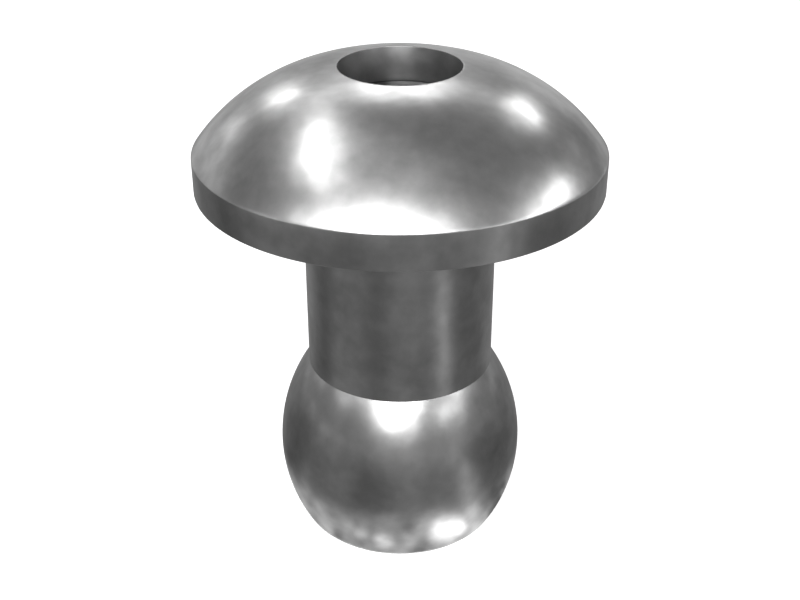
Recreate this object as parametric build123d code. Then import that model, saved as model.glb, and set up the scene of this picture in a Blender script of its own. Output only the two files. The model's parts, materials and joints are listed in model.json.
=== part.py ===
from build123d import *
import os

# A set blind rivet: sheets were clamped between the domed head and the upset blind end.
# Origin at the centre of the foot, +Z up along the rivet's axis to the head. Millimetres.

# Domed head
head_diameter = 10.05
rim_height = 0.88       # the straight band round the head
dome_height = 2.13      # top of the rim to the apex, which the bore cuts away
crown_radius = 9.84     # the flatter arc round the mouth of the bore
crown_diameter = 4.19   # where the crown turns into the tighter shoulder arc

# Shank
shank_diameter = 4.80
grip_length = 4.96      # the sheets held between the head and the bulb
bore_diameter = 2.96

# Upset bulb at the blind end
bulb_diameter = 6.44
bulb_height = 4.64
bulb_widest_height = 2.11
foot_inset = 0.575      # how far the sleeve curls in from the widest ring to the foot
lip_thinning = 0.17     # wall lost at the sleeve's curled end

# Mandrel
stem_gap = 0.18         # clearance between the stem and the bore
break_depth = 0.89      # mouth of the bore to the broken end of the stem
squeeze_depth = 0.20    # the bore narrows to the stem over this depth below the break
shoulder_height = 1.60  # from the bulb's widest ring up to the stem
tail_recess = 0.25      # the mandrel's end face above the foot
tail_edge_round = 0.30

# Edges left by cold forming
edge_round = 0.05

shank_wall = (shank_diameter - bore_diameter) / 2
mandrel_head_diameter = bulb_diameter - 2 * shank_wall
foot_diameter = bulb_diameter - 2 * foot_inset
lip_radius = foot_diameter / 2 - (shank_wall - lip_thinning)
stem_diameter = bore_diameter - 2 * stem_gap
seat_height = bulb_height + grip_length
rim_top = seat_height + rim_height
apex_height = rim_top + dome_height
crown_centre = apex_height - crown_radius
mouth_height = crown_centre + (crown_radius**2 - (bore_diameter / 2) ** 2) ** 0.5
break_height = mouth_height - break_depth
squeeze_height = break_height - squeeze_depth


def crown_point(radius):
    return (radius, crown_centre + (crown_radius**2 - radius**2) ** 0.5)


def spin(outline):
    return revolve(make_face(Plane.XZ * (Curve() + outline)), Axis.Z)


def bulging_side(widest, height, low, high):
    """Two arcs that meet upright at the widest ring, one down to low and one up to high."""
    ring = (widest / 2, height)
    lower = TangentArc(ring, low, tangent=(0, -1))
    upper = TangentArc(ring, high, tangent=(0, 1))
    return [lower, upper]


def outside():
    """The outside from the foot up to the mouth of the bore."""
    foot = (foot_diameter / 2, 0)
    neck = (shank_diameter / 2, bulb_height)
    seat_inner = (shank_diameter / 2, seat_height)
    seat_outer = (head_diameter / 2, seat_height)
    rim_edge = (head_diameter / 2, rim_top)
    crown_edge = crown_point(crown_diameter / 2)
    downhill = (crown_edge[1] - crown_centre, -crown_edge[0])
    mouth = crown_point(bore_diameter / 2)
    mid_crown = crown_point((bore_diameter + crown_diameter) / 4)
    return bulging_side(bulb_diameter, bulb_widest_height, foot, neck) + [
        Line(neck, seat_inner),
        Line(seat_inner, seat_outer),
        Line(seat_outer, rim_edge),
        TangentArc(crown_edge, rim_edge, tangent=downhill),
        ThreePointArc(crown_edge, mid_crown, mouth),
    ]


def seat_radius(height):
    """How far out sleeve and mandrel meet at a height below the widest ring."""
    widest = mandrel_head_diameter / 2
    curl = widest - lip_radius
    arc_radius = (bulb_widest_height**2 + curl**2) / (2 * curl)
    drop = bulb_widest_height - height
    return widest - arc_radius + (arc_radius**2 - drop**2) ** 0.5


def seat_of_mandrel(low):
    """Where sleeve and mandrel meet, from the point low up to where the bore opens."""
    stem_foot = (stem_diameter / 2, bulb_widest_height + shoulder_height)
    squeeze_top = (stem_diameter / 2, squeeze_height)
    return bulging_side(mandrel_head_diameter, bulb_widest_height, low, stem_foot) + [
        Line(stem_foot, squeeze_top),
    ]


def rounded(solid, places, radius):
    """Rounds the circular edges that lie at the given (radius, height) places."""
    for place_radius, place_height in places:
        ring = solid.edges().filter_by(
            lambda e: e.geom_type == GeomType.CIRCLE
            and abs(e.radius - place_radius) < 0.001
            and abs(e.arc_center.Z - place_height) < 0.001
        )
        solid = fillet(ring, radius)
    return solid


def rivet_body():
    """Head, shank and bulb, cold-formed in one piece and squeezed down on the stem."""
    bore_radius = bore_diameter / 2
    outline = outside() + [
        Line(crown_point(bore_radius), (bore_radius, break_height)),
        Line((bore_radius, break_height), (stem_diameter / 2, squeeze_height)),
        *seat_of_mandrel((lip_radius, 0)),
        Line((lip_radius, 0), (foot_diameter / 2, 0)),
    ]
    corners = [
        (bore_radius, mouth_height),
        (head_diameter / 2, rim_top),
        (head_diameter / 2, seat_height),
        (foot_diameter / 2, 0),
        (lip_radius, 0),
    ]
    return rounded(spin(outline), corners, edge_round)


def mandrel():
    """The captured head and the stem, broken off inside the bore."""
    tail = (seat_radius(tail_recess), tail_recess)
    outline = seat_of_mandrel(tail) + [
        Line((stem_diameter / 2, squeeze_height), (stem_diameter / 2, break_height)),
        Line((stem_diameter / 2, break_height), (0, break_height)),
        Line((0, break_height), (0, tail_recess)),
        Line((0, tail_recess), tail),
    ]
    return rounded(spin(outline), [tail], tail_edge_round)


def save(node, shape):
    shape.label = node
    export_step(shape, f"parts/{node}.step")


os.makedirs("parts", exist_ok=True)
save("rivet_body", rivet_body())
save("mandrel", mandrel())
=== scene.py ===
import json
import math

import bmesh
import bpy
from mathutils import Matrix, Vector, noise


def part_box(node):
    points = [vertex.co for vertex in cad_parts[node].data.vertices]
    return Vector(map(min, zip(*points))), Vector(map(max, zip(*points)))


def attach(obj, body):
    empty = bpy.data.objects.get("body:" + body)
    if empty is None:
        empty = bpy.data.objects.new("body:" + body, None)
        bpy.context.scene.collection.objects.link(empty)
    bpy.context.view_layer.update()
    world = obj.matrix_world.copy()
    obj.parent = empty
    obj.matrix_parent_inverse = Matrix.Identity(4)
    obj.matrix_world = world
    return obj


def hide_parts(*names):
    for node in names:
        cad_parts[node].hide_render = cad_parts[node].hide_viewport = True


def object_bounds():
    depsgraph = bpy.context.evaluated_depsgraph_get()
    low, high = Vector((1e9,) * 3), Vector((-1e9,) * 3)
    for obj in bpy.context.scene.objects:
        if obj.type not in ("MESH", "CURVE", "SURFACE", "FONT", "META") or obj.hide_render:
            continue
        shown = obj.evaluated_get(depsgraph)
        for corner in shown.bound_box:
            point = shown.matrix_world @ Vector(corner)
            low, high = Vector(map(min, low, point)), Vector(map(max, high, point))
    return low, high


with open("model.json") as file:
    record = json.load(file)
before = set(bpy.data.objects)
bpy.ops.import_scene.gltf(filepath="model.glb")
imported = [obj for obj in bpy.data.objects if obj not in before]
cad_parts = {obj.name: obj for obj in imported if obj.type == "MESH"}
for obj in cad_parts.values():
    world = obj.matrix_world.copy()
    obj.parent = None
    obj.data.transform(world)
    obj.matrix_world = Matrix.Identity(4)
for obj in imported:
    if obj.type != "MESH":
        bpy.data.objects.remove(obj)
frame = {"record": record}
cadLow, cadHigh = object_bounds()
scene = bpy.context.scene
mm = 0.001
mounts = {mount["name"]: mount for mount in frame["record"]["mounts"]}
seatHeight = mounts["head_seat"]["pos_m"][2]
boreRadius = mounts["head_bore"]["dims"]["r_mm"] * mm
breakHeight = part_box("mandrel")[1].z
print("frame loaded")

cameraSetup = {
    "distance": 31.83 * mm,
    "elevation": 28.585,         # degrees above the floor
    "aimHeight": 6.216 * mm,
    "lens": 55.28,
    "sensorWidth": 36,
    "clipStart": 1 * mm,
    "clipEnd": 10,
}


def makeCamera(setup):
    cameraData = bpy.data.cameras.new("camera")
    cameraData.lens = setup["lens"]
    cameraData.sensor_width = setup["sensorWidth"]
    cameraData.clip_start = setup["clipStart"]
    cameraData.clip_end = setup["clipEnd"]
    camera = bpy.data.objects.new("camera", cameraData)
    scene.collection.objects.link(camera)
    tilt = math.radians(setup["elevation"])
    back = Vector((0, -math.cos(tilt), math.sin(tilt)))
    camera.location = Vector((0, 0, setup["aimHeight"])) + back * setup["distance"]
    camera.rotation_euler = (math.pi / 2 - tilt, 0, 0)
    scene.camera = camera


makeCamera(cameraSetup)
print("camera placed")


# a Wire is a node's output that takes part in Python sums
class Wire:
    def __init__(self, tree, socket):
        self.tree = tree
        self.socket = socket

    def maths(self, operation, *inputs, clamp=False):
        settings = {"operation": operation, "use_clamp": clamp}
        return addNode(self.tree, "ShaderNodeMath", settings, inputs)

    def __add__(self, other):
        return self.maths("ADD", self, other)

    def __sub__(self, other):
        return self.maths("SUBTRACT", self, other)

    def __rsub__(self, other):
        return self.maths("SUBTRACT", other, self)

    def __mul__(self, other):
        return self.maths("MULTIPLY", self, other)

    __radd__ = __add__
    __rmul__ = __mul__

    def clamped(self):           # kept between 0 and 1
        return self.maths("ADD", self, 0.0, clamp=True)

    def sibling(self, output):   # another output of the same node
        return Wire(self.tree, self.socket.node.outputs[output])


# settings go in first, then the sockets, by place or by name
def addNode(tree, kind, settings, inputs, output=0):
    node = tree.nodes.new(kind)
    for name, value in settings.items():
        if name == "stops":
            fillRamp(node.color_ramp, value)
        else:
            setattr(node, name, value)
    named = inputs.items() if isinstance(inputs, dict) else enumerate(inputs)
    for key, value in named:
        if isinstance(value, Wire):
            tree.links.new(value.socket, node.inputs[key])
        else:
            node.inputs[key].default_value = value
    return Wire(tree, node.outputs[output]) if node.outputs else None


def fillRamp(ramp, stops):
    while len(ramp.elements) < len(stops):
        ramp.elements.new(1.0)
    for element, (place, level) in zip(ramp.elements, stops):
        element.position = place
        element.color = grey(level)


def grey(level):
    return (level, level, level, 1)


# noise whose patches are about as wide as size
def noiseWire(tree, place, size, detail=2.0, rough=0.5):
    inputs = {"Vector": place, "Scale": 1 / size, "Detail": detail, "Roughness": rough}
    return addNode(tree, "ShaderNodeTexNoise", {}, inputs)


# 0 up to low, 1 from high on, smooth between
def contrast(tree, wire, low, high):
    settings = {"interpolation_type": "SMOOTHSTEP"}
    return addNode(tree, "ShaderNodeMapRange", settings, {0: wire, 1: low, 2: high})


def colourMix(tree, factor, first, second):
    inputs = {0: factor, 6: first, 7: second}
    return addNode(tree, "ShaderNodeMix", {"data_type": "RGBA"}, inputs, output=2)


def emptyMaterial(name):
    material = bpy.data.materials.new(name)
    material.use_nodes = True
    material.node_tree.nodes.clear()
    return material, material.node_tree


def placeMesh(bm, name, material):
    mesh = bpy.data.meshes.new(name)
    bm.to_mesh(mesh)
    bm.free()
    mesh.materials.append(material)
    placed = bpy.data.objects.new(name, mesh)
    scene.collection.objects.link(placed)
    return placed


steelMix = {                     # how clouds, smudges and grain make up dull cold-formed steel
    "clouds": 0.55,
    "smudges": 0.45,
    "grain": 0.6,
    "patchLow": 0.3,             # the noise between these two becomes soft patches
    "patchHigh": 0.7,
}


def makeSteel(name, look):
    material, tree = emptyMaterial(name)
    place = addNode(tree, "ShaderNodeTexCoord", {}, [], output="Object")
    edges = (steelMix["patchLow"], steelMix["patchHigh"])
    clouds = contrast(tree, noiseWire(tree, place, look["cloudSize"], detail=2.0), *edges)
    smudges = contrast(tree, noiseWire(tree, place, look["smudgeSize"], detail=1.5), *edges)
    grain = noiseWire(tree, place, look["grainSize"], detail=3.0, rough=0.6)
    dents = noiseWire(tree, place, look["dentSize"], detail=1.0, rough=0.4)
    patches = clouds * steelMix["clouds"] + smudges * steelMix["smudges"]
    tone = (patches + (grain - 0.5) * steelMix["grain"]).clamped()
    baseColour = colourMix(tree, tone, grey(look["darkGrey"]), grey(look["lightGrey"]))
    roughness = look["roughest"] - (look["roughest"] - look["smoothest"]) * patches
    # the bore's wall gets painted shade
    if "grease" in look:
        baseColour, roughness = paintBoreShade(tree, place, smudges, baseColour, roughness, look["grease"])
    height = dents * look["dentDepth"] + grain * look["grainDepth"]
    bump = addNode(tree, "ShaderNodeBump", {}, {"Strength": 1.0, "Distance": 1.0, "Height": height})
    shader = addNode(tree, "ShaderNodeBsdfPrincipled", {}, {
        "Base Color": baseColour, "Metallic": 1.0, "Roughness": roughness, "Normal": bump,
    })
    addNode(tree, "ShaderNodeOutputMaterial", {}, {"Surface": shader})
    return material


# painted shade in the bore: the wall's colour is darkened, most down by the broken stem, and its roughness
# raised
def paintBoreShade(tree, place, smudges, baseColour, roughness, grease):
    x = addNode(tree, "ShaderNodeSeparateXYZ", {}, [place])
    y, z = x.sibling("Y"), x.sibling("Z")
    apart = x.maths("SQRT", x * x + y * y)
    edge = boreRadius + grease["reach"]
    inBore = contrast(tree, apart, edge + grease["fade"], edge)
    atBreak = contrast(tree, z, breakHeight + grease["breakFade"], breakHeight)
    shadeAmount = grease["thinnest"] + smudges * grease["smudged"] + atBreak * grease["atBreak"]
    boreShaded = (inBore * shadeAmount).clamped()
    # painted shade: the wall's colour is mixed towards this near-black grey
    baseColour = colourMix(tree, boreShaded, baseColour, grey(grease["grey"]))
    return baseColour, roughness + inBore * grease["dulling"]


# points after start up to end on the arc about centre
def arcPoints(start, end, centre, steps):
    startAngle = math.atan2(start[1] - centre[1], start[0] - centre[0])
    endAngle = math.atan2(end[1] - centre[1], end[0] - centre[0])
    radius = math.dist(start, centre)
    made = []
    for i in range(1, steps + 1):
        angle = startAngle + (endAngle - startAngle) * i / steps
        made.append((centre[0] + radius * math.cos(angle), centre[1] + radius * math.sin(angle)))
    return made


# centre of the arc that leaves ring upright and passes through end
def uprightCentre(ring, end):
    inward = ring[0] - end[0]
    rise = end[1] - ring[1]
    radius = (rise * rise + inward * inward) / (2 * inward)
    return (ring[0] - radius, ring[1])


# an outline is a list of (radius, height) points
def spinOutline(outline, closed, turns):
    bm = bmesh.new()
    verts = [bm.verts.new((radius, 0, height)) for radius, height in outline]
    pairs = list(zip(verts, verts[1:]))
    if closed:
        pairs.append((verts[-1], verts[0]))
    edges = [bm.edges.new(pair) for pair in pairs]
    bmesh.ops.spin(bm, geom=verts + edges, cent=(0, 0, 0), axis=(0, 0, 1), dvec=(0, 0, 0),
                   angle=math.tau, steps=turns, use_merge=True)
    bmesh.ops.remove_doubles(bm, verts=bm.verts, dist=0.0005 * mm)
    bmesh.ops.recalc_face_normals(bm, faces=bm.faces)
    return bm


# rounds the ring edges that lie at the given (radius, height) places
def bevelRings(bm, places, width, segments):
    near = 0.001 * mm

    def onRing(vert, place):
        aside = abs(math.hypot(vert.co.x, vert.co.y) - place[0])
        return aside < near and abs(vert.co.z - place[1]) < near

    rings = [e for e in bm.edges if any(all(onRing(v, p) for v in e.verts) for p in places)]
    bmesh.ops.bevel(bm, geom=rings, offset=width, offset_type="OFFSET", segments=segments,
                    profile=0.5, affect="EDGES", clamp_overlap=True, material=-1)


def finishPiece(bm, name, material):
    sharpFrom = math.radians(28)
    for face in bm.faces:
        face.smooth = True
    for edge in bm.edges:
        if len(edge.link_faces) == 2 and edge.calc_face_angle() > sharpFrom:
            edge.smooth = False
    piece = placeMesh(bm, name, material)
    weighted = piece.modifiers.new("weighted normals", "WEIGHTED_NORMAL")
    weighted.keep_sharp = True
    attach(piece, "root")
    return piece


nest = {                         # where the mandrel sits in the rivet body
    "stemRadius": 1.30 * mm,
    "shoulderTop": 3.71 * mm,
    "bulbWidest": 2.11 * mm,
    "lipRadius": 1.895 * mm,
}

rivetBody = {
    "rimHeight": 0.88 * mm,
    "crownRadius": 9.84 * mm,
    "crownEdge": 4.19 / 2 * mm,
    "apexHeight": 12.61 * mm,
    "bulbRadius": 3.22 * mm,
    "footRadius": 5.29 / 2 * mm,
    "cavityRadius": 2.30 * mm,
    "squeezeDepth": 0.20 * mm,   # the bore narrows to the stem over this depth
    "edgeRound": 0.05 * mm,
    "crispRound": 0.015 * mm,    # mouth of the bore and top of the rim
    "turns": 256,
    "darkGrey": 0.37, "lightGrey": 0.59,
    "smoothest": 0.277, "roughest": 0.325,
    "cloudSize": 2.2 * mm, "smudgeSize": 0.6 * mm, "grainSize": 0.25 * mm, "dentSize": 0.6 * mm,
    "dentDepth": 0.007 * mm, "grainDepth": 0.0010 * mm,
    # painted shade on the bore's wall, darkest down by the broken stem
    "grease": {
        "grey": 0.04,
        "thinnest": 0.42, "smudged": 0.22, "atBreak": 0.35,    # how much the painted shade darkens
        "reach": 0.01 * mm, "fade": 0.02 * mm,                 # outward from the bore's wall
        "breakFade": 0.05 * mm,                                # upward from the broken stem
        "dulling": 0.12,
    },
}


def makeRivetBody(shape, material):
    low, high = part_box("rivet_body")
    rimRadius = high.x
    shankRadius = mounts["sheet_grip"]["dims"]["r_mm"] * mm
    gripLength = mounts["sheet_grip"]["dims"]["length_mm"] * mm
    crownCentre = (0, shape["apexHeight"] - shape["crownRadius"])

    def crownPoint(radius):
        return (radius, crownCentre[1] + math.sqrt(shape["crownRadius"] ** 2 - radius ** 2))

    foot = (shape["footRadius"], low.z)
    ring = (shape["bulbRadius"], nest["bulbWidest"])
    neck = (shankRadius, seatHeight - gripLength)
    headSeat = (rimRadius, seatHeight)
    rimTop = (rimRadius, seatHeight + shape["rimHeight"])
    crownEdge = crownPoint(shape["crownEdge"])
    mouth = crownPoint(boreRadius)
    squeezeTop = (boreRadius, breakHeight)
    squeezeEnd = (nest["stemRadius"], breakHeight - shape["squeezeDepth"])
    stemFoot = (nest["stemRadius"], nest["shoulderTop"])
    innerRing = (shape["cavityRadius"], nest["bulbWidest"])
    lip = (nest["lipRadius"], low.z)

    outline = [foot]
    outline += arcPoints(foot, ring, uprightCentre(ring, foot), steps=24)
    outline += arcPoints(ring, neck, uprightCentre(ring, neck), steps=28)
    shankSteps = 4
    for i in range(1, shankSteps + 1):
        outline.append((shankRadius, neck[1] + (seatHeight - neck[1]) * i / shankSteps))
    outline += [headSeat, rimTop]
    outline += arcPoints(rimTop, crownEdge, shoulderCentre(crownCentre, crownEdge, rimTop), steps=44)
    outline += arcPoints(crownEdge, mouth, crownCentre, steps=10)
    outline += [squeezeTop, squeezeEnd, stemFoot]
    outline += arcPoints(stemFoot, innerRing, uprightCentre(innerRing, stemFoot), steps=10)
    outline += arcPoints(innerRing, lip, uprightCentre(innerRing, lip), steps=10)
    bm = spinOutline(outline, closed=True, turns=shape["turns"])
    bevelRings(bm, [foot, lip, headSeat], shape["edgeRound"], segments=3)
    bevelRings(bm, [rimTop, mouth], shape["crispRound"], segments=2)
    piece = finishPiece(bm, "rivetBody", material)
    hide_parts("rivet_body")


# the shoulder's arc leaves the crown in line with it and ends at the rim
def shoulderCentre(crownCentre, crownEdge, rimTop):
    toCentre = Vector(crownCentre) - Vector(crownEdge)
    toCentre.normalize()
    chord = Vector(rimTop) - Vector(crownEdge)
    radius = chord.length_squared / (2 * chord.dot(toCentre))
    return tuple(Vector(crownEdge) + toCentre * radius)


makeRivetBody(rivetBody, makeSteel("bodySteel", rivetBody))
print("rivet body made")

mandrel = {                      # the captured head and the broken stem
    "tailRound": 0.30 * mm,
    "breakDepth": 0.07 * mm,     # how far the broken face dips
    "dishShare": 0.35,           # a smooth dish makes up this much of the dip, torn relief the rest
    "tornSize": 0.35 * mm,
    "turns": 128,
    "darkGrey": 0.08, "lightGrey": 0.26,
    "smoothest": 0.38, "roughest": 0.55,
    "cloudSize": 0.9 * mm, "smudgeSize": 0.3 * mm, "grainSize": 0.05 * mm, "dentSize": 0.25 * mm,
    "dentDepth": 0.006 * mm, "grainDepth": 0.0015 * mm,
}


def makeMandrel(shape, material):
    low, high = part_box("mandrel")
    ring = (high.x, nest["bulbWidest"])
    lip = (nest["lipRadius"], 0)
    lowerCentre = uprightCentre(ring, lip)
    lowerRadius = ring[0] - lowerCentre[0]
    tailRadius = lowerCentre[0] + math.sqrt(lowerRadius ** 2 - (ring[1] - low.z) ** 2)
    stemRadius = nest["stemRadius"]
    stemFoot = (stemRadius, nest["shoulderTop"])

    tailRings, faceRings = 4, 20
    outline = [(tailRadius * i / tailRings, low.z) for i in range(tailRings + 1)]
    outline += arcPoints(outline[-1], ring, lowerCentre, steps=5)
    outline += arcPoints(ring, stemFoot, uprightCentre(ring, stemFoot), steps=12)
    outline += [(stemRadius * (1 - i / faceRings), high.z) for i in range(faceRings + 1)]
    bm = spinOutline(outline, closed=False, turns=shape["turns"])
    bevelRings(bm, [(tailRadius, low.z)], shape["tailRound"], segments=5)
    tearFace(bm, high.z, shape)
    piece = finishPiece(bm, "mandrelWithBrokenStem", material)
    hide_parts("mandrel")


def tearFace(bm, top, shape):
    falloff, lacunarity, octaves = 0.9, 2.0, 4
    for vert in bm.verts:
        if vert.co.z > top - 0.001 * mm:
            reach = math.hypot(vert.co.x, vert.co.y) / nest["stemRadius"]
            torn = 0.5 + 0.5 * noise.fractal(vert.co / shape["tornSize"], falloff, lacunarity, octaves)
            dip = shape["dishShare"] * (1 - reach ** 2) + (1 - shape["dishShare"]) * max(0.0, torn)
            vert.co.z -= shape["breakDepth"] * dip


makeMandrel(mandrel, makeSteel("mandrelSteel", mandrel))
print("mandrel made")

floorSetup = {
    "half": 2.0,
    "grey": 0.8,
    "lift": 0.62,                # added for what looks at the floor, so that it reads as white
}


def makeFloor(setup):
    bm = bmesh.new()
    bmesh.ops.create_grid(bm, x_segments=1, y_segments=1, size=setup["half"])
    material, tree = emptyMaterial("whitePaper")
    paper = addNode(tree, "ShaderNodeBsdfDiffuse", {}, {"Color": grey(setup["grey"])})
    byCamera = addNode(tree, "ShaderNodeLightPath", {}, {}, output="Is Camera Ray")
    byMirror = byCamera.sibling("Is Glossy Ray")
    byGlass = byCamera.sibling("Is Transmission Ray")
    seen = (byCamera + byMirror + byGlass).clamped()
    lift = addNode(tree, "ShaderNodeEmission", {}, {"Color": seen * setup["lift"], "Strength": 1.0})
    both = addNode(tree, "ShaderNodeAddShader", {}, [paper, lift])
    clear = addNode(tree, "ShaderNodeBsdfTransparent", {}, {})
    fromBelow = addNode(tree, "ShaderNodeNewGeometry", {}, {}, output="Backfacing")
    oneSided = addNode(tree, "ShaderNodeMixShader", {}, [fromBelow, both, clear])
    addNode(tree, "ShaderNodeOutputMaterial", {}, {"Surface": oneSided})
    placeMesh(bm, "floor", material)


cardSetup = {                    # a ring of softly glowing grey card round the rivet's foot
    "inner": 2.68 * mm,
    "outer": 90 * mm,
    "height": 0.02 * mm,
    "darkest": 0.1,
    "cloudSize": 4 * mm, "cloudLeast": 0.65, "cloudGain": 0.7,
    "nearCloudSize": 0.8 * mm, "nearCloudLeast": 0.6, "nearCloudGain": 0.8,
    "patchLow": 0.3, "patchHigh": 0.7,     # the near noise between these two becomes soft patches
    "glow": 0.42, "glowStart": 5.2 * mm, "glowFull": 3.2 * mm,
    "spotOuter": 1.4, "spotInner": 0.3,    # of a spot's half-width, where it starts and is full
    "ragged": 1.4,                         # of a spot's half-width, how far its edge strays
}
cardBands = [                    # azimuth from -180 to 180 degrees, and how light the cards are there
    (-180, 0.28), (-140, 0.28), (-118, 0.18), (-96, 0.09), (-75, 0.235), (-55, 0.215), (-40, 0.19),
    (-28, 0.11), (-10, 0.19), (10, 0.25), (28, 0.18), (41, 0.22), (50, 0.62), (58, 0.24), (66, 0.12),
    (88, 0.13), (115, 0.19), (142, 0.26), (180, 0.28),
]
cardSpots = [                    # azimuth, distance from the axis, half-width, strength
    (31, 3.45 * mm, 0.66 * mm, 2.1),
    (40, 3.05 * mm, 0.25 * mm, 0.9),
    (20, 4.20 * mm, 0.70 * mm, 0.3),
    (-10, 3.12 * mm, 0.34 * mm, 0.95),
    (-8, 4.20 * mm, 0.55 * mm, 0.3),
    (-24, 3.30 * mm, 0.28 * mm, 0.6),
    (-32, 3.44 * mm, 0.16 * mm, 0.4),
    (6, 3.75 * mm, 0.34 * mm, -0.25),
    (10, 2.85 * mm, 0.30 * mm, -0.25),
    (-40, 2.95 * mm, 0.28 * mm, -0.3),
    (74, 3.45 * mm, 0.90 * mm, -0.35),
    (-66, 3.60 * mm, 0.40 * mm, -0.15),
    (-96, 3.15 * mm, 0.45 * mm, 0.6),
    (97, 3.10 * mm, 0.45 * mm, 0.5),
]


# only the metal's reflections see the cards
def makeCards(setup):
    bm = bmesh.new()
    bmesh.ops.create_circle(bm, cap_ends=False, segments=96, radius=setup["inner"])
    rim = bmesh.ops.extrude_edge_only(bm, edges=bm.edges[:])
    outer = [part for part in rim["geom"] if isinstance(part, bmesh.types.BMVert)]
    grow = setup["outer"] / setup["inner"]
    bmesh.ops.scale(bm, vec=(grow, grow, 1), verts=outer)
    bmesh.ops.translate(bm, vec=(0, 0, setup["height"]), verts=bm.verts[:])
    cards = placeMesh(bm, "greyCards", makeCardMaterial(setup))
    cards.visible_camera = False
    cards.visible_diffuse = False
    cards.visible_shadow = False


def makeCardMaterial(setup):
    material, tree = emptyMaterial("greyCard")
    place = addNode(tree, "ShaderNodeTexCoord", {}, [], output="Object")
    x = addNode(tree, "ShaderNodeSeparateXYZ", {}, [place])
    y = x.sibling("Y")
    azimuth = x.maths("ARCTAN2", x, y * -1.0) * (1 / math.tau) + 0.5
    stops = [(0.5 + degrees / 360, level) for degrees, level in cardBands]
    bands = addNode(tree, "ShaderNodeValToRGB", {"stops": stops}, [azimuth])
    clouds = noiseWire(tree, place, setup["cloudSize"], detail=4.0, rough=0.6)
    level = bands * (clouds * setup["cloudGain"] + setup["cloudLeast"])
    nearClouds = noiseWire(tree, place, setup["nearCloudSize"], detail=2.0, rough=0.55)
    distance = addNode(tree, "ShaderNodeVectorMath", {"operation": "LENGTH"}, [place], output=1)
    glow = contrast(tree, distance, setup["glowStart"], setup["glowFull"]) * setup["glow"]
    patches = contrast(tree, nearClouds, setup["patchLow"], setup["patchHigh"])
    glow = glow * (patches * setup["nearCloudGain"] + setup["nearCloudLeast"])
    for degrees, reach, halfWidth, strength in cardSpots:
        turn = math.radians(degrees)
        centre = (math.sin(turn) * reach, -math.cos(turn) * reach, 0)
        apart = addNode(tree, "ShaderNodeVectorMath", {"operation": "DISTANCE"}, [place, centre], output=1)
        apart = apart + (nearClouds - 0.5) * (halfWidth * setup["ragged"])
        spot = contrast(tree, apart, halfWidth * setup["spotOuter"], halfWidth * setup["spotInner"])
        glow = glow + spot * strength
    level = level.maths("MAXIMUM", level + glow, setup["darkest"])
    lit = addNode(tree, "ShaderNodeEmission", {}, {"Color": level, "Strength": 1.0})
    addNode(tree, "ShaderNodeOutputMaterial", {}, {"Surface": lit})
    return material


lampDistance = 70 * mm
lamps = {                        # azimuth from the camera's side, elevation, width, height, radiance
    "front": (-3, 35, 45, 38, 4.4),
    "frontHigh": (-14, 48, 74, 20, 3.8),
    "frontRight": (54, 21, 34, 18, 1.9),
    "frontLeft": (-70, 24, 22, 10, 1.1),
    "leftHigh": (-85, 61.5, 22, 4, 14.0),
    "leftArc": (-112, 63, 15, 4, 14.0),
    "leftArcEnd": (-133, 58, 12, 5, 7.0),
    "leftBack": (-149, 50, 10, 7, 2.4),
    "backFill": (-166, 28, 46, 40, 0.26),
    "leftLow": (-122, 16, 50, 18, 0.55),
    "overhead": (-30, 76, 46, 46, 0.3),
    "backLeft": (-152, 30, 10, 4, 11.0),
    "backLeftLow": (-138, 21, 7, 5, 2.8),
    "backRight": (143, 35.5, 14, 5, 9.5),
    "backLow": (162, 12, 30, 14, 0.5),
    "right": (88, 29.5, 40, 6, 7.0),
    "rightHigh": (76, 35, 12, 6, 1.8),
    "rightLow": (128, 20, 20, 7, 0.3),
    "back": (180, 41, 16, 6, 6.5),
    "backWide": (180, 42, 44, 10, 1.1),
}


def makeLamp(name, azimuth, elevation, width, height, radiance):
    lampData = bpy.data.lights.new(name, "AREA")
    lampData.shape = "ELLIPSE"
    lampData.size = 2 * lampDistance * math.tan(math.radians(width / 2))
    lampData.size_y = 2 * lampDistance * math.tan(math.radians(height / 2))
    area = math.pi * lampData.size * lampData.size_y / 4
    lampData.energy = radiance * math.pi * area
    lamp = bpy.data.objects.new(name, lampData)
    scene.collection.objects.link(lamp)
    turn, tilt = math.radians(azimuth), math.radians(elevation)
    away = Vector((math.sin(turn) * math.cos(tilt), -math.cos(turn) * math.cos(tilt), math.sin(tilt)))
    lamp.location = Vector((0, 0, (cadLow.z + cadHigh.z) / 2)) + away * lampDistance
    lamp.rotation_euler = away.to_track_quat("Z", "Y").to_euler()


surroundingsGrey = 0.18


def makeSurroundings(level):
    world = bpy.data.worlds.new("studio")
    scene.world = world
    world.use_nodes = True
    world.node_tree.nodes["Background"].inputs["Color"].default_value = grey(level)


makeFloor(floorSetup)
makeCards(cardSetup)
for lampName, lampValues in lamps.items():
    makeLamp(lampName, *lampValues)
makeSurroundings(surroundingsGrey)
scene.view_settings.view_transform = "Standard"
print("stage lit")
